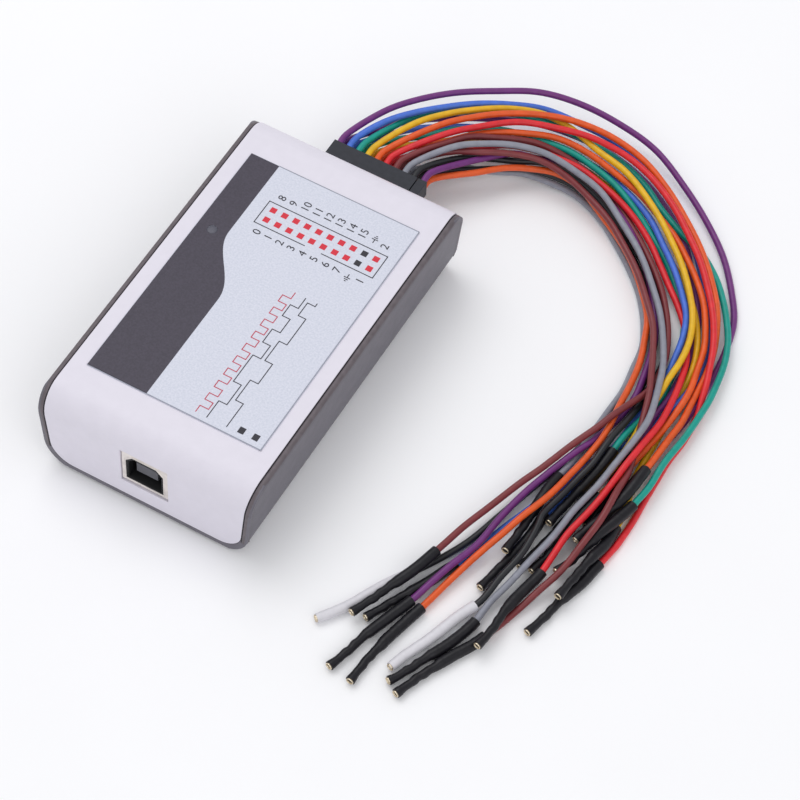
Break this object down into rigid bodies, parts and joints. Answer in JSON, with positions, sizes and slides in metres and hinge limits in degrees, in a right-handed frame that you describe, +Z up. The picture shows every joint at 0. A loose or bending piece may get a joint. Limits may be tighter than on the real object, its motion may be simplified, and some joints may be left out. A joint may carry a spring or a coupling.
{
  "type": "logic analyzer",
  "caption": "USB logic analyzer: rounded two-part case with a printed panel, USB socket in front, and a bundle of coloured test leads plugged in behind.",
  "frame": {"origin": "on the table under the middle of the case, leads and plugs not counted", "axes": "+Z up, +X right as seen from the USB end, +Y from the USB end towards the leads; the case is longest along Y"},
  "size_m": [0.1248, 0.1664, 0.0243],
  "materials": {
    "chip_epoxy": "matt epoxy",
    "circuit_board": "green solder mask",
    "foot_rubber": "matt rubber",
    "gold_pins": "gold flashed pins in a black block",
    "label_film": null,
    "light_pipe": "translucent grey",
    "nickel_plate": "nickel plated sheet",
    "plug_housing": "matt black crimp housing",
    "screw_steel": "zinc plated",
    "shell_plastic": "satin moulded ABS",
    "silicone_black": "soft silicone",
    "silicone_blue": "soft silicone",
    "silicone_brown": "soft silicone",
    "silicone_grey": "soft silicone",
    "silicone_orange": "soft silicone",
    "silicone_purple": "soft silicone",
    "silicone_red": "soft silicone",
    "silicone_teal": "soft silicone",
    "silicone_yellow": "soft silicone",
    "sleeve_black": "heat-shrink over a metal crimp socket",
    "sleeve_white": "heat-shrink over a metal crimp socket",
    "socket_plastic": "matt black nylon",
    "tray_plastic": "satin moulded ABS"
  },
  "bodies": {
    "case": {"lower_shell": "tray_plastic", "upper_shell": "shell_plastic", "top_label": "label_film", "status_led": "light_pipe", "circuit_board": "circuit_board", "fpga_chip": "chip_epoxy", "usb_controller_chip": "chip_epoxy", "usb_socket_shell": "nickel_plate", "usb_socket_insert": "socket_plastic", "pin_header": "gold_pins", "case_screw_1": "screw_steel", "case_screw_2": "screw_steel", "case_screw_3": "screw_steel", "case_screw_4": "screw_steel", "rubber_foot_1": "foot_rubber", "rubber_foot_2": "foot_rubber", "rubber_foot_3": "foot_rubber", "rubber_foot_4": "foot_rubber"},
    "channel_leads": {"channel_connector": "plug_housing", "lead_purple_upper": "silicone_purple", "sleeve_purple_upper": "sleeve_black", "lead_blue_upper": "silicone_blue", "sleeve_blue_upper": "sleeve_black", "lead_teal_upper": "silicone_teal", "sleeve_teal_upper": "sleeve_black", "lead_yellow_upper": "silicone_yellow", "sleeve_yellow_upper": "sleeve_black", "lead_orange_upper": "silicone_orange", "sleeve_orange_upper": "sleeve_black", "lead_red_upper": "silicone_red", "sleeve_red_upper": "sleeve_black", "lead_brown_upper": "silicone_brown", "sleeve_brown_upper": "sleeve_black", "lead_grey_upper": "silicone_grey", "sleeve_grey_upper": "sleeve_black", "lead_black_upper": "silicone_black", "sleeve_black_upper": "sleeve_white", "lead_purple_lower": "silicone_purple", "sleeve_purple_lower": "sleeve_black", "lead_blue_lower": "silicone_blue", "sleeve_blue_lower": "sleeve_black", "lead_teal_lower": "silicone_teal", "sleeve_teal_lower": "sleeve_black", "lead_yellow_lower": "silicone_yellow", "sleeve_yellow_lower": "sleeve_black", "lead_orange_lower": "silicone_orange", "sleeve_orange_lower": "sleeve_black", "lead_red_lower": "silicone_red", "sleeve_red_lower": "sleeve_black", "lead_brown_lower": "silicone_brown", "sleeve_brown_lower": "sleeve_black", "lead_grey_lower": "silicone_grey", "sleeve_grey_lower": "sleeve_black", "lead_black_lower": "silicone_black", "sleeve_black_lower": "sleeve_white"},
    "pwm_leads": {"pwm_connector": "plug_housing", "lead_purple_pwm": "silicone_purple", "sleeve_purple_pwm": "sleeve_black", "lead_orange_pwm": "silicone_orange", "sleeve_orange_pwm": "sleeve_black"}
  },
  "joints": [
    {"name": "channel_plug_slide", "type": "slide", "parent": "case", "child": "channel_leads", "axis": [0, 1, 0], "range_m": [0, 0.008]},
    {"name": "pwm_plug_slide", "type": "slide", "parent": "case", "child": "pwm_leads", "axis": [0, 1, 0], "range_m": [0, 0.008]}
  ],
  "couplings": [
    {"joint": "pwm_plug_slide", "follows": "channel_plug_slide", "ratio": 1}
  ]
}
